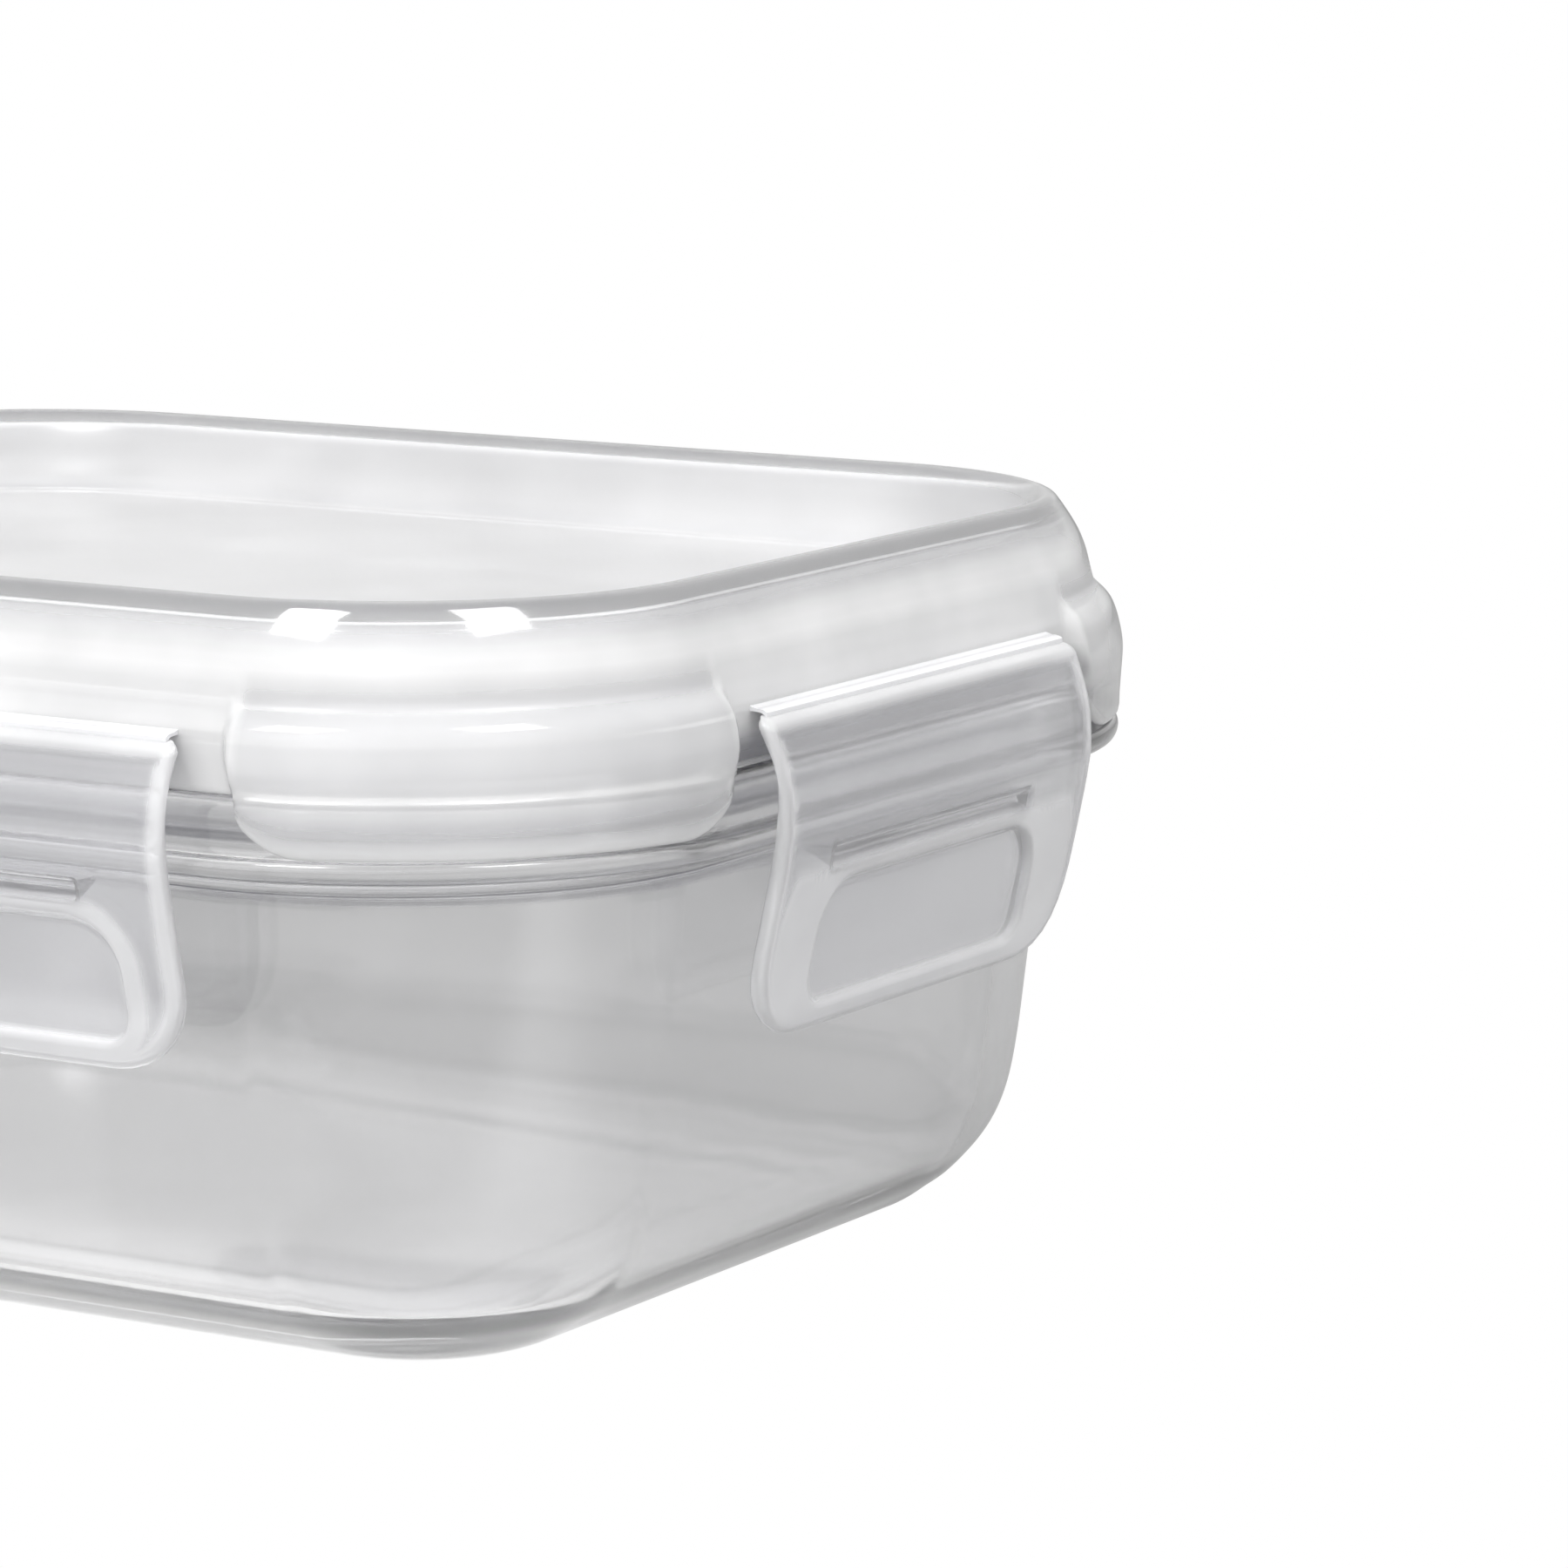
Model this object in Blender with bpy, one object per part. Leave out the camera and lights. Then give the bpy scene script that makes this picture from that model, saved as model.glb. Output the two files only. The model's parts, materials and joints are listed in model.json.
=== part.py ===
"""Rectangular glass food container: pressed glass tub, clear moulded lid with four hinged clips, and a seal.

Metres, +Z up, origin at the centre of the base on the surface it stands on. +X runs along the long side
and -Y is the front. Every wall section is a list of (inset, height) pairs: inset is measured inwards,
level, from the reference outline, which is the widest rounded rectangle of the lid and rim.
"""

import math

import bmesh
import bpy
from mathutils import Matrix, Vector

MM = 0.001

LENGTH = 155.0 * MM
WIDTH = 125.0 * MM
HEIGHT = 68.0 * MM
HALF_X = LENGTH / 2
HALF_Y = WIDTH / 2
CORNER_RADIUS = 34.3 * MM

# Corners of the tub's base are tighter than the rim's: beyond this inset the radius falls faster.
BASE_TIGHTEN_FROM = 15.0 * MM
BASE_TIGHTEN_RATE = 1.25
LEAST_CORNER_RADIUS = 5.0 * MM
TUB_CORNER_STEPS = 9

FLOOR_TOP = 4.9 * MM
BEAD_BOTTOM = 44.9 * MM
BEAD_TOP = 47.5 * MM
RIM_TOP = 52.0 * MM

PANEL_TOP = 60.5 * MM
PANEL_THICKNESS = 1.9 * MM
FLANGE_BOTTOM = 52.6 * MM
SEAL_BOTTOM = 52.3 * MM
SEAL_LEDGE = 56.3 * MM
SEAL_TOP = 56.0 * MM

# A moulded flap wraps each corner of the lid, from just past one clip to just before the next.
FLAP_START_LONG = math.radians(8.0)
FLAP_START_SHORT = math.radians(2.2)
FLAP_BOTTOM = 47.5 * MM
FLAP_WIDEST = 56.5 * MM
FLAP_TOP = 61.2 * MM
FLAP_LOWER_CORNER = 8.0 * MM
FLAP_UPPER_CORNER = 2.4 * MM
FLAP_EDGE_BLEND = 0.8 * MM
LIP_HEIGHT = 0.3 * MM

# Clips: the front and back pair are longer than the left and right pair.
CLIP_HALF_LONG = 43.4 * MM
CLIP_HALF_SHORT = 27.0 * MM
CLIP_BOTTOM = 28.3 * MM
CLIP_TOP = 56.8 * MM
CLIP_CORNER = 8.0 * MM
CLIP_TOP_CORNER = 1.2 * MM
HINGE_INSET = 0.6 * MM
HINGE_HEIGHT = 57.15 * MM
STRIP_HALF_THICKNESS = 0.25 * MM
STRIP_INNER_INSET = 1.5 * MM
STRIP_END_MARGIN = 2.0 * MM
WINDOW_BOTTOM = 30.8 * MM
WINDOW_TOP = 41.4 * MM
WINDOW_MARGIN_LONG = 5.9 * MM
WINDOW_MARGIN_SHORT = 8.6 * MM
WINDOW_BOTTOM_CORNER = 2.6 * MM
WINDOW_TOP_CORNER = 4.6 * MM
WINDOW_DEPTH = 0.8 * MM
HOOK_END_MARGIN = 10.0 * MM

# Outward direction, reach from the middle, clip's half length and the window's margin at its ends.
SIDES = {
    "front": (Vector((0, -1, 0)), HALF_Y, CLIP_HALF_LONG, WINDOW_MARGIN_LONG),
    "back": (Vector((0, 1, 0)), HALF_Y, CLIP_HALF_LONG, WINDOW_MARGIN_LONG),
    "right": (Vector((1, 0, 0)), HALF_X, CLIP_HALF_SHORT, WINDOW_MARGIN_SHORT),
    "left": (Vector((-1, 0, 0)), HALF_X, CLIP_HALF_SHORT, WINDOW_MARGIN_SHORT),
}


def clear_scene():
    for obj in list(bpy.data.objects):
        bpy.data.objects.remove(obj)


def make_collection(name):
    collection = bpy.data.collections.new(name)
    bpy.context.scene.collection.children.link(collection)
    return collection


def make_material(name, colour, roughness, transmission):
    material = bpy.data.materials.new(name)
    material.use_nodes = True
    shader = material.node_tree.nodes["Principled BSDF"]
    shader.inputs["Base Color"].default_value = (*colour, 1.0)
    shader.inputs["Roughness"].default_value = roughness
    shader.inputs["Metallic"].default_value = 0.0
    shader.inputs["Transmission Weight"].default_value = transmission
    return material


def millimetres(*pairs):
    return [(first * MM, second * MM) for first, second in pairs]


def above(level, *pairs):
    """(inset, height) pairs given in millimetres, with each height counted from this level."""
    return [(inset * MM, level + rise * MM) for inset, rise in pairs]


def finish(obj, material, origin=None):
    """Gives a piece its material and smooth rounds, and puts its origin on its joint axis."""
    if origin is not None:
        obj.data.transform(Matrix.Translation(-origin))
        obj.location = origin
    obj.data.materials.clear()
    obj.data.materials.append(material)
    for polygon in obj.data.polygons:
        polygon.use_smooth = True
    obj.data.set_sharp_from_angle(angle=math.radians(30))
    return obj


# ---------------------------------------------------------------- rounded-rectangle lofts


def stations(angles):
    """(outward normal, corner signs, angle from the long side) all round the outline, counter-clockwise."""
    found = []
    for corner in range(4):
        start = -math.pi / 2 + corner * math.pi / 2
        for turn in angles if corner % 2 == 0 else [math.pi / 2 - a for a in reversed(angles)]:
            angle = start + turn
            middle = start + math.pi / 4
            signs = (math.copysign(1, math.cos(middle)), math.copysign(1, math.sin(middle)))
            from_long = turn if corner % 2 == 0 else math.pi / 2 - turn
            found.append((Vector((math.cos(angle), math.sin(angle), 0)), signs, from_long))
    return found


def corner_radius(inset):
    """Corners share their centres down to the base, where they tighten."""
    beyond = max(0.0, inset - BASE_TIGHTEN_FROM)
    radius = CORNER_RADIUS - (inset - beyond) - BASE_TIGHTEN_RATE * beyond
    return max(radius, LEAST_CORNER_RADIUS)


def outline_point(station, inset, height, radius):
    normal, signs, _ = station
    return (
        signs[0] * (HALF_X - inset - radius) + radius * normal.x,
        signs[1] * (HALF_Y - inset - radius) + radius * normal.y,
        height,
    )


def loft(name, rings, collection, capped):
    """Skins a list of rings. Capped, the first and last are filled; otherwise the last joins the first."""
    count = len(rings[0])
    points = [point for ring in rings for point in ring]
    faces = []
    pairs = list(zip(range(len(rings) - 1), range(1, len(rings))))
    if not capped:
        pairs.append((len(rings) - 1, 0))
    for low, high in pairs:
        for i in range(count):
            j = (i + 1) % count
            faces.append((low * count + i, low * count + j, high * count + j, high * count + i))
    if capped:
        faces.append(tuple(reversed(range(count))))
        faces.append(tuple((len(rings) - 1) * count + i for i in range(count)))
    mesh = bpy.data.meshes.new(name)
    mesh.from_pydata(points, [], faces)
    mesh.validate()
    obj = bpy.data.objects.new(name, mesh)
    collection.objects.link(obj)
    return obj


def plain_ring(around, inset, height):
    return [outline_point(station, inset, height, corner_radius(inset)) for station in around]


# ---------------------------------------------------------------- tub


def tub_section():
    """From the underside's middle, out over the foot, up the outside, over the rim and down the inside."""
    foot = millimetres((31.5, 0.7), (30.4, 0.33), (29.0, 0.0), (26.8, 0.0), (24.6, 0.13), (22.5, 0.48))
    base_fillet = millimetres(
        (20.6, 1.03), (19.1, 1.8), (17.5, 2.9), (15.5, 4.3), (13.9, 5.9), (12.5, 7.6),
        (11.5, 9.2), (10.7, 11.0)
    )
    wall = millimetres((10.0, 13.4), (9.3, 17.5), (8.75, 22.0), (7.7, 31.0), (6.5, 40.5), (6.0, 43.2))
    bead = above(BEAD_BOTTOM, (5.3, -0.7), (4.4, -0.2), (2.9, 0.0), (1.5, 0.1), (0.6, 0.45), (0.2, 1.1))
    bead_top = above(BEAD_TOP, (0.15, -0.8), (0.45, -0.3), (1.4, 0.0))
    neck = above(RIM_TOP, (1.45, -1.6), (1.9, -0.5), (2.8, 0.0))
    mouth = above(RIM_TOP, (7.7, 0.0), (8.45, -0.4), (8.8, -1.4), (9.3, -6.0), (9.9, -11.0))
    inner_wall = millimetres((10.9, 33.0), (12.2, 22.0), (13.0, 15.0))
    floor_fillet = above(FLOOR_TOP, (13.7, 6.7), (15.0, 3.8), (17.1, 1.6), (19.9, 0.35), (22.6, 0.0))
    return foot + base_fillet + wall + bead + bead_top + neck + mouth + inner_wall + floor_fillet


def build_tub(collection, material):
    angles = [math.pi / 2 * i / TUB_CORNER_STEPS for i in range(TUB_CORNER_STEPS + 1)]
    around = stations(angles)
    rings = [plain_ring(around, inset, height) for inset, height in tub_section()]
    tub = loft("glass_body", rings, collection, capped=True)
    return finish(tub, material)


# ---------------------------------------------------------------- lid


def flap_distance(from_long):
    """How far this angle is inside the flap, measured round the corner from its nearer end."""
    from_start = CORNER_RADIUS * (from_long - FLAP_START_LONG)
    from_end = CORNER_RADIUS * (math.pi / 2 - FLAP_START_SHORT - from_long)
    return min(from_start, from_end)


def flap_lower_edge(distance):
    """Height of the flap's lower edge: a quarter ellipse at each end, then level."""
    along = min(1.0, max(0.0, distance) / FLAP_LOWER_CORNER)
    fall = math.sqrt(1 - (1 - along) ** 2)
    return min(FLAP_WIDEST - fall * (FLAP_WIDEST - FLAP_BOTTOM), FLANGE_BOTTOM - LIP_HEIGHT)


def flap_share(distance, height):
    """0 off the flap to 1 on it, at this height: its end is rounded above and below its widest level."""
    if height > FLAP_WIDEST:
        corner, level = FLAP_UPPER_CORNER, (height - FLAP_WIDEST) / (FLAP_TOP - FLAP_WIDEST)
    else:
        corner, level = FLAP_LOWER_CORNER, (FLAP_WIDEST - height) / (FLAP_WIDEST - FLAP_BOTTOM)
    start = corner * (1 - math.sqrt(1 - min(1.0, level) ** 2))
    return min(1.0, max(0.0, distance - start) / FLAP_EDGE_BLEND)


def lid_outer_rows(distance):
    """The shoulder, flange and flap from the top down, then the inside of the flap back up to the flange."""
    plain = millimetres(
        (2.75, 61.3), (2.45, 60.2), (2.1, 58.6), (1.8, 57.6), (1.8, 55.6), (1.8, 54.0), (1.8, 53.0)
    )
    bulge = millimetres(
        (2.65, 61.2), (2.2, 60.1), (1.2, 58.3), (0.45, 57.0), (-0.05, 55.4), (-0.25, 54.0), (0.1, 52.9)
    )
    rows = []
    for (a, b), (c, d) in zip(plain, bulge):
        share = flap_share(distance, d)
        rows.append((a + (c - a) * share, b + (d - b) * share))
    skirt = above(
        FLANGE_BOTTOM,
        (0.7, -0.9), (0.3, -3.0), (0.15, -4.8), (0.5, -5.1), (0.95, -4.8), (1.0, -3.0), (1.45, -0.7)
    )
    folded = above(
        FLANGE_BOTTOM,
        (1.85, -0.1), (1.9, -0.2), (2.0, -0.27), (2.15, -0.3), (2.3, -0.27), (2.4, -0.2), (2.5, -0.1)
    )
    share = flap_share(distance, FLANGE_BOTTOM)
    if share == 0:
        return rows + folded
    drop = (FLANGE_BOTTOM - flap_lower_edge(distance)) / (FLANGE_BOTTOM - FLAP_BOTTOM)
    for (inset, height), (folded_inset, _) in zip(skirt, folded):
        scaled = FLANGE_BOTTOM - (FLANGE_BOTTOM - height) * drop
        rows.append((folded_inset + (inset - folded_inset) * share, scaled))
    return rows


def lid_section(from_long):
    """The lid's section here: recessed panel, ridge, shoulder, flange or flap, seal channel and plug wall."""
    panel_edge = above(PANEL_TOP, (14.6, 0.0), (13.2, 0.15), (12.0, 0.9), (10.9, 2.6), (9.9, 4.9))
    ridge_inside = above(HEIGHT, (9.0, -1.1), (8.0, -0.25), (7.0, 0.0))
    ridge_outside = above(HEIGHT, (6.2, -0.25), (5.7, -0.8), (4.53, -2.5), (3.95, -3.5), (3.35, -5.0))
    outer = lid_outer_rows(flap_distance(from_long))
    seal_channel = above(SEAL_LEDGE, (3.0, -3.4), (3.0, 0.0), (4.0, 0.0), (4.5, 3.7), (5.2, 7.0))
    hollow = above(SEAL_LEDGE, (5.8, 9.0), (6.7, 9.8), (7.4, 9.1), (7.9, 6.7), (8.2, 0.0))
    plug = above(SEAL_LEDGE, (9.2, 0.0), (9.35, -4.8), (9.9, -8.7), (10.4, -9.3), (11.2, -9.3), (11.6, -8.7))
    underside = above(PANEL_TOP - PANEL_THICKNESS, (11.9, -1.6), (12.5, -0.3), (14.0, 0.0))
    return panel_edge + ridge_inside + ridge_outside + outer + seal_channel + hollow + plug + underside


def build_lid(collection, material):
    long_end = [0, 7.5, 8.7, 9.6, 11.3, 13.5, 17, 22]
    short_end = [74, 79, 82.4, 84.6, 86.3, 87.2, 88.2, 90]
    angles = [math.radians(a) for a in long_end + [29, 37, 45, 53, 61, 68] + short_end]
    around = stations(angles)
    sections = [lid_section(station[2]) for station in around]
    rings = []
    for row in range(len(sections[0])):
        ring = []
        for station, section in zip(around, sections):
            inset, height = section[row]
            ring.append(outline_point(station, inset, height, CORNER_RADIUS - inset))
        rings.append(ring)
    rings.reverse()
    lid = loft("lid", rings, collection, capped=True)
    return finish(lid, material)


# ---------------------------------------------------------------- seal


def build_seal(collection, material):
    """Square silicone strip in the lid's channel, with two soft ribs that bear on the rim's flat top."""
    outer_rib = above(SEAL_BOTTOM, (3.3, 0.6), (3.8, 0.0), (4.8, 0.0), (5.3, 0.5))
    inner_rib = above(SEAL_BOTTOM, (6.9, 0.5), (7.4, 0.0), (8.2, 0.0), (8.75, 0.6))
    section = above(SEAL_TOP, (3.3, 0.0)) + outer_rib + inner_rib + above(SEAL_TOP, (8.75, 0.0))
    angles = [math.pi / 2 * i / TUB_CORNER_STEPS for i in range(TUB_CORNER_STEPS + 1)]
    around = stations(angles)
    rings = [plain_ring(around, inset, height) for inset, height in reversed(section)]
    seal = loft("seal_ring", rings, collection, capped=False)
    return finish(seal, material)


# ---------------------------------------------------------------- clips and hinge strips


def frame_of(outward, middle):
    """A frame whose x is outward, y up and z along the side, at a point given from the object's middle."""
    up = Vector((0, 0, 1))
    along = outward.cross(up)
    frame = Matrix((outward, up, along)).transposed().to_4x4()
    frame.translation = middle
    return frame


def extruded(name, outline, half_length, frame, collection):
    """A filled flat outline, extruded both ways along its frame's z and turned into a mesh."""
    curve = bpy.data.curves.new(name, "CURVE")
    curve.dimensions = "2D"
    curve.fill_mode = "BOTH"
    curve.extrude = half_length
    spline = curve.splines.new("POLY")
    spline.points.add(len(outline) - 1)
    for point, (x, y) in zip(spline.points, outline):
        point.co = (x, y, 0, 1)
    spline.use_cyclic_u = True
    helper = bpy.data.objects.new(name + "_curve", curve)
    bpy.context.scene.collection.objects.link(helper)
    bpy.context.view_layer.update()
    evaluated = helper.evaluated_get(bpy.context.evaluated_depsgraph_get())
    mesh = bpy.data.meshes.new_from_object(evaluated)
    bpy.data.objects.remove(helper)
    weld_caps(mesh)
    mesh.transform(frame)
    obj = bpy.data.objects.new(name, mesh)
    collection.objects.link(obj)
    return obj


def weld_caps(mesh):
    work = bmesh.new()
    work.from_mesh(mesh)
    bmesh.ops.remove_doubles(work, verts=work.verts, dist=1e-6)
    bmesh.ops.recalc_face_normals(work, faces=work.faces)
    work.to_mesh(mesh)
    work.free()


def rounded_outline(left, right, bottom, top, bottom_radius, top_radius, steps=6):
    """A rectangle with rounded corners, counter-clockwise from the lower left."""
    corners = (
        (left + bottom_radius, bottom + bottom_radius, bottom_radius, math.pi),
        (right - bottom_radius, bottom + bottom_radius, bottom_radius, 1.5 * math.pi),
        (right - top_radius, top - top_radius, top_radius, 0.0),
        (left + top_radius, top - top_radius, top_radius, 0.5 * math.pi),
    )
    outline = []
    for x, y, radius, start in corners:
        for i in range(steps + 1):
            angle = start + math.pi / 2 * i / steps
            outline.append((x + radius * math.cos(angle), y + radius * math.sin(angle)))
    return outline


def clip_section():
    """(outset, height) round the clip: down its outer face, round its lower lip and up its inner face."""
    outer_bulge = millimetres(
        (0.3, 56.75), (0.9, 55.9), (1.4, 54.6), (1.9, 53.1), (2.35, 51.4), (2.62, 49.4), (2.65, 47.4),
        (2.3, 44.8)
    )
    outer_face = millimetres((1.7, 41.8), (1.0, 38.6), (0.4, 36.0), (-0.1, 33.7), (-0.5, 31.3), (-0.8, 29.8))
    lip = above(CLIP_BOTTOM, (-1.1, 0.5), (-1.55, 0.0), (-2.1, 0.1), (-2.45, 0.7))
    inner_face = millimetres(
        (-2.2, 31.3), (-1.7, 33.7), (-1.15, 36.0), (-0.55, 38.6), (-0.05, 40.8), (0.5, 43.4)
    )
    inner_bulge = millimetres(
        (0.85, 45.0), (1.2, 47.4), (1.35, 49.4), (1.3, 51.0), (0.95, 52.6), (0.35, 54.0), (-0.3, 55.3),
        (-0.75, 56.2)
    )
    top = above(CLIP_TOP, (-0.6, -0.25), (-0.25, -0.1))
    return outer_bulge + outer_face + lip + inner_face + inner_bulge + top


def hook_section():
    """The ledge on the clip's inner face that catches under the rim's bead."""
    top = above(BEAD_BOTTOM, (1.2, -0.4), (-2.8, -0.4), (-3.0, -0.7))
    slope = above(BEAD_BOTTOM, (-2.8, -1.1), (-0.2, -2.3), (1.2, -2.3))
    return top + slope


def add_boolean(obj, operation, other):
    modifier = obj.modifiers.new(operation.title(), "BOOLEAN")
    modifier.operation = operation
    modifier.solver = "EXACT"
    modifier.object = other


def build_clip(side, collection, cutters, material):
    outward, reach, half, _ = SIDES[side]
    frame = frame_of(outward, outward * reach)
    clip = extruded("clip_" + side, clip_section(), half, frame, collection)
    hook = extruded("hook_" + side, hook_section(), half - HOOK_END_MARGIN, frame, cutters)
    # In these frames the outline's x runs along the side and its y up, so the cutter's z points outward.
    facing = frame @ Matrix(((0, 0, 1, 0), (0, 1, 0, 0), (-1, 0, 0, 0), (0, 0, 0, 1)))
    outline = rounded_outline(-half, half, CLIP_BOTTOM, CLIP_TOP, CLIP_CORNER, CLIP_TOP_CORNER)
    trim = extruded("trim_" + side, outline, 8 * MM, facing, cutters)
    window = build_window(side, facing, cutters)
    add_boolean(clip, "UNION", hook)
    add_boolean(clip, "INTERSECT", trim)
    add_boolean(clip, "DIFFERENCE", window)
    axis = outward * (reach - HINGE_INSET) + Vector((0, 0, HINGE_HEIGHT))
    return finish(clip, material, origin=axis)


def build_window(side, facing, cutters):
    """A shallow cutter lying along the clip's sloping lower face."""
    _, _, half, margin = SIDES[side]
    top = Vector((0, WINDOW_TOP, 1.5 * MM))
    bottom = Vector((0, WINDOW_BOTTOM, -0.6 * MM))
    run = (top - bottom).length
    slope = math.atan2(top.z - bottom.z, top.y - bottom.y)
    depth = 4 * MM
    outline = rounded_outline(
        -half + margin, half - margin, 0, run, WINDOW_BOTTOM_CORNER, WINDOW_TOP_CORNER, steps=5
    )
    lying = facing @ Matrix.Translation(bottom) @ Matrix.Rotation(slope, 4, "X")
    lying = lying @ Matrix.Translation((0, 0, depth - WINDOW_DEPTH))
    return extruded("window_" + side, outline, depth, lying, cutters)


def build_strip(side, collection, material):
    """The thin living-hinge strip, from the flange to a rounded edge on the clip's axis."""
    outward, reach, half, _ = SIDES[side]
    frame = frame_of(outward, outward * reach)
    radius = STRIP_HALF_THICKNESS
    outline = [(-STRIP_INNER_INSET, HINGE_HEIGHT - radius)]
    for i in range(7):
        angle = -math.pi / 2 + math.pi * i / 6
        outline.append((-HINGE_INSET + radius * math.cos(angle), HINGE_HEIGHT + radius * math.sin(angle)))
    outline.append((-STRIP_INNER_INSET, HINGE_HEIGHT + radius))
    strip = extruded("hinge_strip_" + side, outline, half - STRIP_END_MARGIN, frame, collection)
    return finish(strip, material)


def main():
    clear_scene()
    parts = make_collection("glass_storage_container")
    cutters = make_collection("cutters")
    build_tub(parts, make_material("glass", (0.80, 0.81, 0.82), 0.05, 0.95))
    build_lid(parts, make_material("lid_plastic", (0.90, 0.90, 0.90), 0.12, 0.85))
    build_seal(parts, make_material("seal_silicone", (0.62, 0.62, 0.67), 0.45, 0.3))
    for side in SIDES:
        clip = make_material(f"clip_{side}_plastic", (0.86, 0.87, 0.88), 0.3, 0.6)
        build_clip(side, parts, cutters, clip)
        strip = make_material(f"hinge_{side}_plastic", (0.88, 0.88, 0.89), 0.3, 0.6)
        build_strip(side, parts, strip)
    for obj in cutters.objects:
        obj.hide_render = True
        obj.display_type = "WIRE"


main()
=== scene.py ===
import json
import math

import bpy
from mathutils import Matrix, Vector

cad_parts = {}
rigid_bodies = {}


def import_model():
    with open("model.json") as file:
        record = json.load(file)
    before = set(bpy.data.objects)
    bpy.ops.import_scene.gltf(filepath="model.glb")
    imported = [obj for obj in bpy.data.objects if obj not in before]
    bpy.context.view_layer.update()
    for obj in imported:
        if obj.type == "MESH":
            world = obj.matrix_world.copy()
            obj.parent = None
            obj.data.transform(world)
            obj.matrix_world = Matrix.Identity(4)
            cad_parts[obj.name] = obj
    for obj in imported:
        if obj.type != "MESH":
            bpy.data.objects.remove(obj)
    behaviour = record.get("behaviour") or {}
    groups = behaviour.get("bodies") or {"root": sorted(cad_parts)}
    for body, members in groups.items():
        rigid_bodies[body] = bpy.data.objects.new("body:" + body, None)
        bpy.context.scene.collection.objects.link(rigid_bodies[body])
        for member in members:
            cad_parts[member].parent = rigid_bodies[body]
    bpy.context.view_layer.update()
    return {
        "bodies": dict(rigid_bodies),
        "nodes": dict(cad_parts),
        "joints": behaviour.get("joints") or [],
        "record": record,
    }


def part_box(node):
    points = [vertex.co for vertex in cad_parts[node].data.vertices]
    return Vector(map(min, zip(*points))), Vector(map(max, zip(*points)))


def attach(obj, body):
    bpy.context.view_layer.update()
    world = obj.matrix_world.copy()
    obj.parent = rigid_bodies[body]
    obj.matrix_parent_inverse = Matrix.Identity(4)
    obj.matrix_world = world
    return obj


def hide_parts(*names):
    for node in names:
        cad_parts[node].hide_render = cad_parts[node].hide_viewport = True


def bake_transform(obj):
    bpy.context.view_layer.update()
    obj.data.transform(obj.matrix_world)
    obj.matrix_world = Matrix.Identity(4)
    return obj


# Glass food container with a four-clip lid: the visual model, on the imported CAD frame.
# Sections are (inset from the outline, height). The outline is a rounded rectangle of
# HALF_X by HALF_Y, and every ring of a mesh is that outline moved in by the inset.

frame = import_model()

MM = 0.001

# ------------------------------------------------------------------ sizes, from the frame's boxes

TUB_LOW, TUB_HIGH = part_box("glass_body")
BEAD_INSET = 0.15 * MM
HALF_X = TUB_HIGH.x + BEAD_INSET
HALF_Y = TUB_HIGH.y + BEAD_INSET
CORNER_RADIUS = 34.3 * MM
BASE_TIGHTEN_FROM = 15.0 * MM
BASE_TIGHTEN_RATE = 1.25
LEAST_CORNER_RADIUS = 5.0 * MM
BEAD_BOTTOM = 44.9 * MM

OUTWARD = {
    "front": Vector((0, -1, 0)),
    "back": Vector((0, 1, 0)),
    "left": Vector((-1, 0, 0)),
    "right": Vector((1, 0, 0)),
}
REACH = {"front": HALF_Y, "back": HALF_Y, "left": HALF_X, "right": HALF_X}


def millimetres(*pairs):
    return [(first * MM, second * MM) for first, second in pairs]


# ------------------------------------------------------------------ curves


def smooth_curve(points, steps, keep=()):
    """Centripetal Catmull-Rom through the points, with the corners listed in keep left sharp."""
    found = []
    last = len(points) - 1
    for i in range(last):
        p1, p2 = Vector(points[i]), Vector(points[i + 1])
        p0 = Vector(points[i - 1]) if i > 0 and i not in keep else p1 - (p2 - p1)
        p3 = Vector(points[i + 2]) if i + 2 <= last and i + 1 not in keep else p2 + (p2 - p1)
        found += segment_points(p0, p1, p2, p3, steps)
    found.append(tuple(points[-1]))
    return found


def segment_points(p0, p1, p2, p3, steps):
    t0 = 0.0
    t1 = t0 + max((p1 - p0).length, 1e-9) ** 0.5
    t2 = t1 + max((p2 - p1).length, 1e-9) ** 0.5
    t3 = t2 + max((p3 - p2).length, 1e-9) ** 0.5
    found = []
    for k in range(steps):
        t = t1 + (t2 - t1) * k / steps
        a1 = p0 * ((t1 - t) / (t1 - t0)) + p1 * ((t - t0) / (t1 - t0))
        a2 = p1 * ((t2 - t) / (t2 - t1)) + p2 * ((t - t1) / (t2 - t1))
        a3 = p2 * ((t3 - t) / (t3 - t2)) + p3 * ((t - t2) / (t3 - t2))
        b1 = a1 * ((t2 - t) / (t2 - t0)) + a2 * ((t - t0) / (t2 - t0))
        b2 = a2 * ((t3 - t) / (t3 - t1)) + a3 * ((t - t1) / (t3 - t1))
        found.append(tuple(b1 * ((t2 - t) / (t2 - t1)) + b2 * ((t - t1) / (t2 - t1))))
    return found


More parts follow.
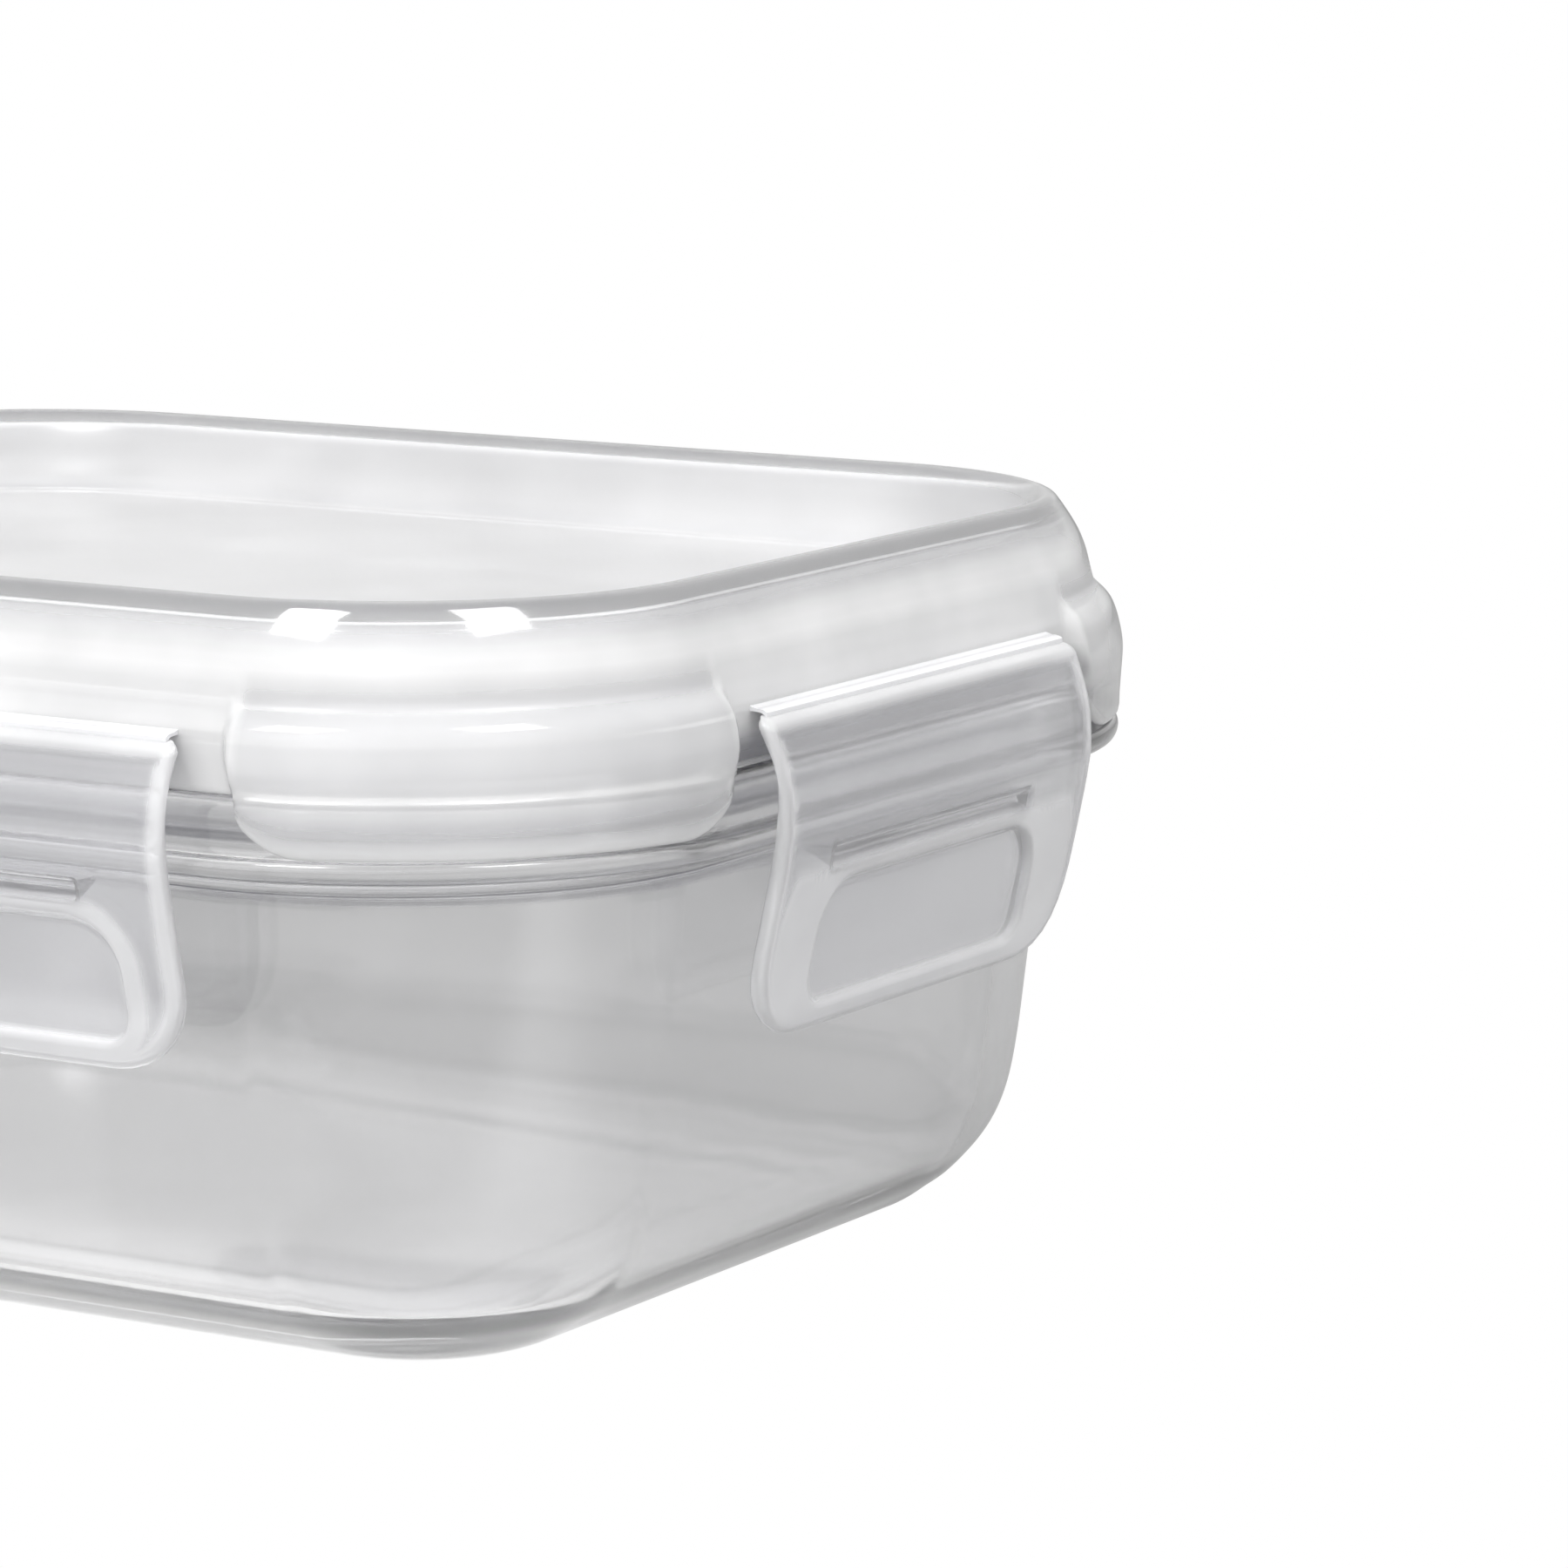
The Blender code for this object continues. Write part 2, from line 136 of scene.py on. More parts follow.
def rising_curve(points):
    """A function of height that passes through (value, height) points without overshooting."""
    points = sorted(points, key=lambda p: p[1])
    heights = [p[1] for p in points]
    values = [p[0] for p in points]
    slopes = [
        (values[i + 1] - values[i]) / (heights[i + 1] - heights[i]) for i in range(len(points) - 1)
    ]
    tangents = [slopes[0]]
    for a, b in zip(slopes, slopes[1:]):
        tangents.append(0.0 if a * b <= 0 else 2 * a * b / (a + b))
    tangents.append(slopes[-1])

    def at(height):
        if height <= heights[0]:
            return values[0]
        if height >= heights[-1]:
            return values[-1]
        i = max(k for k in range(len(heights) - 1) if heights[k] <= height)
        span = heights[i + 1] - heights[i]
        t = (height - heights[i]) / span
        h00 = (1 + 2 * t) * (1 - t) ** 2
        h10 = t * (1 - t) ** 2
        h01 = t * t * (3 - 2 * t)
        h11 = t * t * (t - 1)
        return (
            h00 * values[i] + h10 * span * tangents[i] + h01 * values[i + 1] + h11 * span * tangents[i + 1]
        )

    return at


# ------------------------------------------------------------------ rounded-rectangle lofts


def stations(angles, long_steps=1, short_steps=1):
    """(normal, corner signs, angle from the long side, share of the way along a side) all round."""
    found = []
    for corner in range(4):
        start = -math.pi / 2 + corner * math.pi / 2
        turns = angles if corner % 2 == 0 else [math.pi / 2 - a for a in reversed(angles)]
        for turn in turns:
            angle = start + turn
            middle = start + math.pi / 4
            signs = (math.copysign(1, math.cos(middle)), math.copysign(1, math.sin(middle)))
            from_long = turn if corner % 2 == 0 else math.pi / 2 - turn
            found.append((Vector((math.cos(angle), math.sin(angle), 0)), signs, from_long, 0.0))
        steps = short_steps if corner % 2 == 0 else long_steps
        normal, signs, from_long, _ = found[-1]
        for k in range(1, steps):
            found.append((normal, signs, from_long, k / steps))
    return found


def corner_radius(inset):
    beyond = max(0.0, inset - BASE_TIGHTEN_FROM)
    radius = CORNER_RADIUS - (inset - beyond) - BASE_TIGHTEN_RATE * beyond
    return max(radius, LEAST_CORNER_RADIUS)


def outline_point(station, inset, height, radius):
    normal, signs, _, shift = station
    x = signs[0] * (HALF_X - inset - radius)
    y = signs[1] * (HALF_Y - inset - radius)
    if shift and abs(normal.x) > 0.5:
        y *= 1 - 2 * shift
    elif shift:
        x *= 1 - 2 * shift
    return (x + radius * normal.x, y + radius * normal.y, height)


SHARP_ANGLE = math.radians(50)


def skin(name, rings, capped, **values):
    """One mesh through the rings. Each named value has one number for each point of each ring."""
    count = len(rings[0])
    points = [point for ring in rings for point in ring]
    pairs = list(zip(range(len(rings) - 1), range(1, len(rings))))
    if not capped:
        pairs.append((len(rings) - 1, 0))
    faces = []
    for low, high in pairs:
        for i in range(count):
            j = (i + 1) % count
            faces.append((low * count + i, low * count + j, high * count + j, high * count + i))
    if capped:
        faces.append(tuple(reversed(range(count))))
        faces.append(tuple((len(rings) - 1) * count + i for i in range(count)))
    mesh = bpy.data.meshes.new(name)
    mesh.from_pydata(points, [], faces)
    mesh.validate()
    obj = bpy.data.objects.new(name, mesh)
    bpy.context.scene.collection.objects.link(obj)
    for polygon in mesh.polygons:
        polygon.use_smooth = True
    mesh.set_sharp_from_angle(angle=SHARP_ANGLE)
    for title, levels in values.items():
        attribute = mesh.attributes.new(title, "FLOAT", "POINT")
        attribute.data.foreach_set("value", [level for ring in levels for level in ring])
    return obj


def even_angles(step_deg):
    count = round(90 / step_deg)
    return [math.radians(90 * i / count) for i in range(count + 1)]


def smooth_step(value):
    """0 below 0, 1 above 1, and level at both ends."""
    t = min(1.0, max(0.0, value))
    return t * t * (3 - 2 * t)


# ------------------------------------------------------------------ tub


TUB_STEPS = 4


def tub_section():
    """From the middle of the underside, up the outside, over the rim and down to the floor."""
    underside = millimetres((45.0, 0.7), (35.0, 0.7), (31.5, 0.7), (30.4, 0.33), (29.0, 0.0), (26.8, 0.0))
    base_fillet = millimetres(
        (24.6, 0.13), (22.5, 0.48), (20.6, 1.03), (19.1, 1.8), (17.5, 2.9), (15.5, 4.3), (13.9, 5.9),
        (12.5, 7.6), (11.5, 9.2), (10.7, 11.0)
    )
    wall = millimetres((10.0, 13.4), (9.3, 17.5), (8.75, 22.0), (7.7, 31.0), (6.5, 40.5), (6.0, 43.2))
    bead = millimetres(
        (5.3, 44.2), (4.4, 44.7), (2.9, 44.9), (1.5, 45.0), (0.6, 45.35), (0.2, 46.0), (0.15, 46.7),
        (0.45, 47.2), (1.4, 47.5)
    )
    neck = millimetres((1.45, 50.4), (1.9, 51.5), (2.8, 52.0))
    mouth = millimetres((7.7, 52.0), (8.45, 51.6), (8.8, 50.6), (9.3, 46.0), (9.9, 41.0))
    inner_wall = millimetres((10.9, 33.0), (12.2, 22.0), (13.0, 15.0))
    floor_fillet = millimetres(
        (13.7, 11.6), (15.0, 8.7), (17.1, 6.5), (19.9, 5.25), (22.6, 4.9), (30.0, 4.9), (45.0, 4.9)
    )
    return underside + base_fillet + wall + bead + neck + mouth + inner_wall + floor_fillet


def make_tub(material):
    around = stations(even_angles(1.5), long_steps=10, short_steps=8)
    section = smooth_curve(tub_section(), TUB_STEPS)
    rings = [[outline_point(s, i, z, corner_radius(i)) for s in around] for i, z in section]
    frost = [[smooth_step((z - BEAD_BOTTOM) / MM + 1)] * len(around) for _, z in section]
    tub = skin("glass_tub", rings, capped=True, frost=frost)
    tub.data.materials.append(material)
    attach(tub, "tub")
    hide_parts("glass_body")
    return tub


# ------------------------------------------------------------------ lid


LID_STEPS = 3
FLANGE_BOTTOM = 52.6 * MM
LIP_HEIGHT = 0.3 * MM
# The flap runs round the corner, from an angle past the long side to one short of the short side.
FLAP_START_LONG = math.radians(5.5)
FLAP_START_SHORT = math.radians(0.8)
FLAP_TOP = 60.6 * MM
FLAP_WIDEST = 56.5 * MM
FLAP_BOTTOM = 47.5 * MM
FLAP_UPPER_CORNER = 0.9 * MM
FLAP_LOWER_CORNER = 8.0 * MM
FLAP_EDGE_BLEND = 1.7 * MM
PANEL_RADIUS = 4.0 * MM
# Milk level towards which the flap's rounded ends are whitened: a painted highlight for the light that the
# rounded edge catches.
RIM_PAINTED_HIGHLIGHT = 0.9
CLEAR_BY = math.radians(60)


def mixed(a, b, share):
    return (a[0] + (b[0] - a[0]) * share, a[1] + (b[1] - a[1]) * share)


def flap_distance(from_long):
    """How far this angle is inside the flap, measured round the corner from its nearer end."""
    from_short = math.pi / 2 - from_long
    return CORNER_RADIUS * min(from_long - FLAP_START_LONG, from_short - FLAP_START_SHORT)


def flap_lower_edge(distance):
    """Height of the flap's lower edge, which falls from the flange in a quarter ellipse."""
    along = min(1.0, max(0.0, distance) / FLAP_LOWER_CORNER)
    fall = math.sqrt(1 - (1 - along) ** 2)
    return min(FLAP_WIDEST - fall * (FLAP_WIDEST - FLAP_BOTTOM), FLANGE_BOTTOM - LIP_HEIGHT)


def flap_share(distance, height):
    """0 off the flap to 1 on it, at this height: its end is rounded above and below its widest level."""
    if height > FLAP_WIDEST:
        corner, level = FLAP_UPPER_CORNER, min(1.0, (height - FLAP_WIDEST) / (FLAP_TOP - FLAP_WIDEST))
    else:
        corner, level = FLAP_LOWER_CORNER, min(1.0, (FLAP_WIDEST - height) / (FLAP_WIDEST - FLAP_BOTTOM))
    start = corner * (1 - math.sqrt(1 - level * level))
    return smooth_step((distance - start) / FLAP_EDGE_BLEND)


def lid_outer_rows(distance):
    """The flange's outside and, below it, the skirt that the flap adds, folded flat off the flap."""
    plain = millimetres(
        (2.75, 61.3), (2.55, 60.5), (2.3, 59.5), (2.05, 58.5), (1.85, 57.75), (1.8, 57.3), (1.8, 56.2),
        (1.8, 55.2), (1.8, 54.2), (1.8, 53.0)
    )
    bulge = millimetres(
        (2.68, 60.5), (2.45, 59.8), (1.92, 59.2), (1.3, 58.62), (0.78, 57.95), (0.38, 57.0), (0.1, 56.0),
        (-0.15, 54.8), (-0.25, 53.7), (-0.22, 52.8)
    )
    rows = [mixed(a, b, flap_share(distance, b[1])) for a, b in zip(plain, bulge)]
    drop = (FLANGE_BOTTOM - flap_lower_edge(distance)) / (FLANGE_BOTTOM - FLAP_BOTTOM)
    skirt = millimetres(
        (-0.14, 51.7), (0.0, 49.6), (0.13, 47.9), (0.5, 47.5), (0.95, 47.8), (1.0, 49.6), (1.3, 51.9)
    )
    folded = millimetres(
        (1.85, 52.5), (1.9, 52.4), (2.0, 52.33), (2.15, 52.3), (2.3, 52.33), (2.4, 52.4), (2.5, 52.5)
    )
    share = flap_share(distance, FLANGE_BOTTOM)
    for (inset, height), flat in zip(skirt, folded):
        rows.append(mixed(flat, (inset, FLANGE_BOTTOM - (FLANGE_BOTTOM - height) * drop), share))
    return rows


def lid_section(from_long):
    """(section points, cloudiness of each with a painted highlight along the flap's ends, frost of each) at
    this angle round the corner.
    """
    distance = flap_distance(from_long)
    share = flap_share(distance, FLANGE_BOTTOM)
    # rim: how far a point lies in the whiter band along the flap's ends, which is painted highlight.
    rim = share * (1 - smooth_step((distance - 1.2 * MM) / (1.4 * MM)))
    panel = millimetres((45.0, 60.5), (30.0, 60.5), (17.0, 60.5), (14.6, 60.5))
    ridge = millimetres(
        (13.2, 60.65), (12.0, 61.4), (10.9, 63.1), (9.9, 65.4), (9.0, 66.9), (8.0, 67.75), (7.0, 68.0),
        (6.2, 67.75), (5.7, 67.2), (5.13, 66.4), (4.53, 65.5), (3.95, 64.5), (3.55, 63.6), (3.2, 62.6)
    )
    outer = lid_outer_rows(distance)
    seal_channel = millimetres((3.0, 52.9), (3.0, 56.3), (4.0, 56.3), (4.5, 60.0), (5.2, 63.3))
    hollow = millimetres((5.8, 65.3), (6.7, 66.1), (7.4, 65.4), (7.9, 63.0), (8.2, 56.3))
    plug = millimetres(
        (9.2, 56.3), (9.35, 51.5), (9.9, 47.6), (10.4, 47.0), (11.2, 47.0), (11.6, 47.6), (11.9, 57.0)
    )
    underside = millimetres((12.5, 58.3), (14.0, 58.6), (17.0, 58.6), (30.0, 58.6), (45.0, 58.6))
    section = panel + ridge + outer + seal_channel + hollow + plug + underside
    channel_start = len(panel) + len(ridge) + len(outer)
    plug_start = channel_start + len(seal_channel) + len(hollow)
    sharp = [channel_start + 1, channel_start + 2, plug_start - 1, plug_start]
    edge = [0.6, 0.32, 0.3 + 0.4 * share, 0.3 + 0.6 * share, 0.3 + 0.4 * share, 0.1, 0.0]
    # Near the flap's ends the skirt rows go whiter, towards the rim level: painted highlight.
    edge = [value + (RIM_PAINTED_HIGHLIGHT - value) * rim if value else 0.0 for value in edge]
    milk = [0.6] * len(panel)
    milk += [0.62, 0.66, 0.66, 0.6, 0.4, 0.22, 0.16, 0.13, 0.15, 0.25, 0.45, 0.7, 0.85, 0.9]
    # Near the flap's ends the wall goes whiter too: painted highlight.
    wall = 0.88 - 0.2 * share + 0.25 * rim
    clearer = (1 - share) * smooth_step(from_long / CLEAR_BY)
    above = [wall - 0.1 + 0.02 * k for k in range(len(outer) - 10)]
    milk += above + [wall - 0.3 * clearer, wall - 0.7 * clearer, wall - 0.8 * clearer] + edge
    milk += [0.0] * (len(seal_channel) + len(hollow) + len(plug) + len(underside))
    frost = [0.85] * len(panel) + [1.0] * 4 + [0.75, 0.35] + [0.0] * (len(ridge) - 6)
    frost += [share, share, 0.5 * share] + [0.0] * (len(outer) - 8) + [0.3, 0.0] + [1.0] * 4
    frost += [0.0] * (len(section) - len(frost))
    return smooth_curve(section, LID_STEPS, keep=sharp), spread(milk, LID_STEPS), spread(frost, LID_STEPS)


def spread(values, steps):
    """The values with steps - 1 even ones put between each two."""
    found = []
    for a, b in zip(values, values[1:]):
        found += [a + (b - a) * k / steps for k in range(steps)]
    return found + [values[-1]]


def lid_angles():
    """Angles round a corner, closer together at the ends of the flap."""
    coarse = [1.5 * i for i in range(61)]
    fine = []
    from_end = (-0.25, 0.0, 0.3, 0.6, 0.9, 1.2, 1.5, 1.9, 2.4, 3.0, 3.7, 4.5, 5.5, 6.6, 7.8, 9.2)
    for start, sign in ((math.degrees(FLAP_START_LONG), 1), (90 - math.degrees(FLAP_START_SHORT), -1)):
        fine += [start + sign * d for d in from_end]
    merged = sorted(set(fine + [a for a in coarse if all(abs(a - f) > 0.6 for f in fine)] + [0.0, 90.0]))
    return [math.radians(a) for a in merged if 0 <= a <= 90]


def make_lid(material):
    around = stations(lid_angles(), long_steps=4, short_steps=4)
    by_angle = {from_long: lid_section(from_long) for _, _, from_long, _ in around}
    sections = [by_angle[from_long] for _, _, from_long, _ in around]
    rings, milk, frost = [], [], []
    for row in reversed(range(len(sections[0][0]))):
        ring = []
        for station, (points, _, _) in zip(around, sections):
            inset, height = points[row]
            ring.append(outline_point(station, inset, height, max(CORNER_RADIUS - inset, PANEL_RADIUS)))
        rings.append(ring)
        milk.append([cloudiness[row] for _, cloudiness, _ in sections])
        frost.append([roughness[row] for _, _, roughness in sections])
    lid = skin("clear_lid", rings, capped=True, milk=milk, frost=frost)
    lid.data.materials.append(material)
    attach(lid, "lid")
    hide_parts("lid")
    return lid


# ------------------------------------------------------------------ seal


def make_seal(material):
    section = millimetres(
        (3.3, 55.9), (3.3, 53.0), (3.5, 52.5), (4.2, 52.3), (4.9, 52.5), (5.4, 52.8), (6.8, 52.8),
        (7.2, 52.5), (7.8, 52.3), (8.5, 52.5), (8.75, 53.0), (8.75, 55.9), (8.4, 56.05), (3.6, 56.05)
    )
    closed = smooth_curve(section + section[:1], 3, keep=(11, 12, 13))[:-1]
    around = stations(even_angles(2.25))
    rings = [[outline_point(s, i, z, CORNER_RADIUS - i) for s in around] for i, z in reversed(closed)]
    seal = skin("silicone_seal", rings, capped=False)
    seal.data.materials.append(material)
    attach(seal, "lid")
    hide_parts("seal_ring")
    return seal


# ------------------------------------------------------------------ clips


CLIP_HALF = {side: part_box("clip_" + side)[1].x for side in ("front", "back")}
CLIP_HALF |= {side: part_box("clip_" + side)[1].y for side in ("left", "right")}
WINDOW_MARGIN = {"front": 5.9 * MM, "back": 5.9 * MM, "left": 8.6 * MM, "right": 8.6 * MM}
FRAME_WIDTH = {"front": 2.4 * MM, "back": 2.4 * MM, "left": 7.5 * MM, "right": 7.5 * MM}
CLIP_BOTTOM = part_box("clip_front")[0].z
CLIP_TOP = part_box("clip_front")[1].z
CLIP_CORNER = 8.0 * MM
CLIP_TOP_CORNER = 1.2 * MM
WINDOW_BOTTOM = 30.8 * MM
WINDOW_TOP = 41.4 * MM
WINDOW_BOTTOM_CORNER = 2.6 * MM
WINDOW_TOP_CORNER = 4.6 * MM
WINDOW_DEPTH = 0.8 * MM
RIM_WIDTH = 1.6 * MM
FRAME_TOP_WIDTH = 1.7 * MM
RELIEF = 0.15 * MM
HOOK_END_MARGIN = 10.0 * MM
GROOVE_HEIGHT = 54.9 * MM
GROOVE_HALF_WIDTH = 0.4 * MM
GROOVE_DEPTH = 0.25 * MM
HINGE_MARGIN = 1.2 * MM
FACE_STEPS = 40
# The clip's outer and inner faces: (outset from the outline, height).
CLIP_OUTER = rising_curve(millimetres(
    (-0.05, 56.8), (0.4, 56.5), (0.9, 55.9), (1.4, 54.6), (1.9, 53.1), (2.35, 51.4), (2.62, 49.4),
    (2.65, 47.4), (2.3, 44.8), (1.7, 41.8), (1.0, 38.6), (0.4, 36.0), (-0.1, 33.7), (-0.5, 31.3),
    (-0.8, 29.8), (-1.2, 28.3)
))
CLIP_INNER = rising_curve(millimetres(
    (-2.3, 28.3), (-2.3, 29.5), (-2.2, 31.3), (-1.7, 33.7), (-1.15, 36.0), (-0.55, 38.6), (-0.05, 40.8),
    (0.5, 43.4), (0.85, 45.0), (1.2, 47.4), (1.35, 49.4), (1.3, 51.0), (0.95, 52.6), (0.35, 54.0),
    (-0.3, 55.3), (-0.72, 56.2), (-0.85, 56.8)
))


def box_distance(u, z, half, bottom, top, bottom_radius, top_radius):
    """Signed distance to a rounded rectangle, negative inside."""
    middle = (bottom + top) / 2
    radius = top_radius if z > middle else bottom_radius
    across = abs(u) - half + radius
    up = abs(z - middle) - (top - bottom) / 2 + radius
    outside = math.hypot(max(across, 0.0), max(up, 0.0))
    return outside + min(max(across, up), 0.0) - radius


def step_down(distance, width, blend=1.4 * MM):
    """1 up to this width, then falling smoothly to 0."""
    return 1 - smooth_step((distance - width + blend / 2) / blend)


def raised(side, u, z):
    """How far a point of the clip's face is on the raised rim or window frame: 1 on them, 0 between."""
    half = CLIP_HALF[side]
    top = CLIP_TOP + 2 * RIM_WIDTH
    from_edge = -box_distance(u, z, half, CLIP_BOTTOM, top, CLIP_CORNER, CLIP_TOP_CORNER)
    from_window = box_distance(
        u, z, half - WINDOW_MARGIN[side], WINDOW_BOTTOM, WINDOW_TOP, WINDOW_BOTTOM_CORNER, WINDOW_TOP_CORNER
    )
    over = max(0.0, z - WINDOW_TOP)
    frame = step_down(from_window, FRAME_WIDTH[side]) * step_down(over, FRAME_TOP_WIDTH)
    below = step_down(z, WINDOW_BOTTOM)
    return max(step_down(from_edge, RIM_WIDTH), frame, below)


def outline_loop(half, bottom, top, bottom_radius, top_radius, across=14, up=26, corner=7):
    """(along, height) points of a rounded rectangle, counter-clockwise, always the same number of them."""
    bottom_radius = max(bottom_radius, 0.05 * MM)
    top_radius = max(top_radius, 0.05 * MM)
    arcs = (
        (half - bottom_radius, bottom + bottom_radius, bottom_radius, -math.pi / 2, up),
        (half - top_radius, top - top_radius, top_radius, 0.0, across),
        (-half + top_radius, top - top_radius, top_radius, math.pi / 2, up),
        (-half + bottom_radius, bottom + bottom_radius, bottom_radius, math.pi, across),
    )
    loop = []
    for k, (x, z, radius, start, steps) in enumerate(arcs):
        for i in range(corner + 1):
            angle = start + math.pi / 2 * i / corner
            loop.append((x + radius * math.cos(angle), z + radius * math.sin(angle)))
        nx, nz, nr, nstart, _ = arcs[(k + 1) % 4]
        target = (nx + nr * math.cos(nstart), nz + nr * math.sin(nstart))
        here = loop[-1]
        for i in range(1, steps):
            f = i / steps
            loop.append((here[0] + (target[0] - here[0]) * f, here[1] + (target[1] - here[1]) * f))
    return loop


def mix_loops(a, b, f):
    return [(x + (p - x) * f, z + (q - z) * f) for (x, z), (p, q) in zip(a, b)]


def window_loop(side, grow):
    return outline_loop(
        CLIP_HALF[side] - WINDOW_MARGIN[side] + grow, WINDOW_BOTTOM - grow, WINDOW_TOP + grow,
        WINDOW_BOTTOM_CORNER + grow, WINDOW_TOP_CORNER + grow
    )


def edge_loop(side, shrink):
    return outline_loop(
        CLIP_HALF[side] - shrink, CLIP_BOTTOM + shrink, CLIP_TOP - shrink,
        CLIP_CORNER - shrink, CLIP_TOP_CORNER - shrink * 0.8
    )


def hook_loop(side, grow, low=42.6, high=44.5):
    half = CLIP_HALF[side] - HOOK_END_MARGIN + grow
    return outline_loop(half, low * MM - grow, high * MM + grow, 0.5 * MM + grow, 0.2 * MM + grow)


def clip_rings(side):
    """Rings from the window's middle, over the clip's edge and in to the hook.

    Each is its points, as (along the side, outset, height), and the cloudiness at each point.
    """
    found = []

    def ring(loop, outset, milk):
        found.append(([(u, outset(u, z), z) for u, z in loop], [milk(u, z) for u, z in loop]))

    def face(u, z):
        groove = GROOVE_DEPTH * math.exp(-(((z - GROOVE_HEIGHT) / GROOVE_HALF_WIDTH) ** 2))
        return CLIP_OUTER(z) - max(RELIEF * (1 - raised(side, u, z)), groove)

    def inside(u, z):
        return 0.1

    def cloudy(u, z):
        band = smooth_step((z - GROOVE_HEIGHT) / (0.8 * MM))
        return 0.12 + 0.38 * max(raised(side, u, z), 1.2 * band)

    window_edge = (
        (-4.0, 1.0), (-2.0, 1.0), (-1.0, 1.0), (-0.5, 0.97), (-0.2, 0.8), (0.0, 0.5), (0.2, 0.2),
        (0.45, 0.03), (0.8, 0.0)
    )
    for grow, share in window_edge:
        ring(
            window_loop(side, grow * MM), lambda u, z, f=share: CLIP_OUTER(z) - f * WINDOW_DEPTH,
            lambda u, z, f=share: 0.27 + 0.23 * (1 - f)
        )
    inner, outer = window_loop(side, 0.8 * MM), edge_loop(side, 0.9 * MM)
    for k in range(1, FACE_STEPS):
        ring(mix_loops(inner, outer, k / FACE_STEPS), face, cloudy)
    for shrink, back in ((0.9, 0.0), (0.6, 0.05), (0.3, 0.18), (0.1, 0.38), (0.0, 0.65)):
        ring(edge_loop(side, shrink * MM), lambda u, z, b=back: CLIP_OUTER(z) - b * MM, cloudy)
    for shrink, back in ((0.05, 0.42), (0.22, 0.2), (0.5, 0.06), (0.9, 0.0)):
        ring(edge_loop(side, shrink * MM), lambda u, z, b=back: CLIP_INNER(z) + b * MM, cloudy)
    inner = hook_loop(side, 0.7 * MM)
    for k in range(1, FACE_STEPS // 2):
        ring(mix_loops(outer, inner, 2 * k / FACE_STEPS), lambda u, z: CLIP_INNER(z), inside)
    for grow, rise in ((0.7, 0.0), (0.35, 0.08), (0.12, 0.3), (0.0, 0.7)):
        ring(hook_loop(side, grow * MM), lambda u, z, h=rise: CLIP_INNER(z) - h * MM, inside)
    tip = hook_loop(side, -0.1 * MM, 43.7, 44.6)
    for share, place in ((0.35, -1.2), (0.7, -2.1), (1.0, -2.85)):
        ring(mix_loops(hook_loop(side, 0.0), tip, share), lambda u, z, p=place: p * MM, inside)
    ring(hook_loop(side, -0.35 * MM, 43.6, 44.7), lambda u, z: -3.0 * MM, inside)
    return found


def beside(side, u, outset, height):
    """A point beside the container: u along this side, outset from its outline."""
    outward = OUTWARD[side]
    along = Vector((0, 0, 1)).cross(outward)
    return tuple(along * u + outward * (REACH[side] + outset) + Vector((0, 0, height)))


def make_clip(side, material):
    rings, milk = [], []
    for points, values in reversed(clip_rings(side)):
        rings.append([beside(side, u, outset, z) for u, outset, z in points])
        milk.append(values)
    clip = skin("side_clip_" + side, rings, capped=True, milk=milk)
    clip.data.materials.append(material)
    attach(clip, side + "_clip")
    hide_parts("clip_" + side)
    return clip


# ------------------------------------------------------------------ living hinges


def make_hinge(side, material):
    """A thin web from the flange to the clip's top edge, bent between the two."""
    half = CLIP_HALF[side] - HINGE_MARGIN
    points = millimetres(
        (-2.2, 57.2), (-1.7, 57.2), (-1.2, 57.12), (-0.75, 57.08), (-0.4, 56.95), (-0.1, 56.7)
    )
    path = smooth_curve(points, 3)
    half_thickness = (
        0.34, 0.30, 0.26, 0.2, 0.17, 0.15, 0.14, 0.14, 0.14, 0.14, 0.15, 0.17, 0.2, 0.22, 0.25, 0.28
    )
    upper, lower = [], []
    for (outset, z), t in zip(path, half_thickness):
        upper.append((outset, z + t * MM))
        lower.append((outset, z - t * MM))
    section = upper + list(reversed(lower))
    middle = [half * (k - 6) / 6 * 0.95 for k in range(13)]
    lengths = [-half, -half + 0.5 * MM] + middle + [half - 0.5 * MM, half]
    rings = [[beside(side, u, outset, z) for outset, z in section] for u in lengths]
    web = skin("living_hinge_" + side, rings, capped=True)
    web.data.materials.append(material)
    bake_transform(web)
    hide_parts("hinge_strip_" + side)
    return web


# ------------------------------------------------------------------ materials

LID_PLASTIC = {
    "clear_colour": (0.85, 0.85, 0.865),
    "cloudy_colour": (0.82, 0.82, 0.82),
    "ior": 1.49,
    "rough": 0.1,
    "clouds": (0.0, 0.75),
    "wave": 70.0,
}
# The seal's dark purple colour is painted shade: it stands in for the shadow in the gap between the lid's
# flange and the glass rim.
SEAL_SILICONE_PAINTED_SHADE = {
    "clear_colour": (0.35, 0.35, 0.42),
    "cloudy_colour": (0.35, 0.35, 0.42),
    "ior": 1.41,
    "rough": 0.25,
    "clouds": (0.6, 0.8),
    "wave": 120.0,
}
CLIP_PLASTIC = {
    "clear_colour": (0.92, 0.92, 0.945),
    "cloudy_colour": (0.94, 0.94, 0.94),
    "ior": 1.49,
    "rough": 0.12,
    "clouds": (0.03, 0.75),
    "wave": 90.0,
}
HINGE_PLASTIC = {
    "clear_colour": (0.92, 0.92, 0.94),
    "cloudy_colour": (0.92, 0.92, 0.92),
    "ior": 1.49,
    "rough": 0.12,
    "clouds": (0.7, 0.8),
    "wave": 90.0,
}
# Roughness of frosted plastic, and of the tub's pressed rim.
FROSTED = 0.34
ROUGH_RIM = 0.14


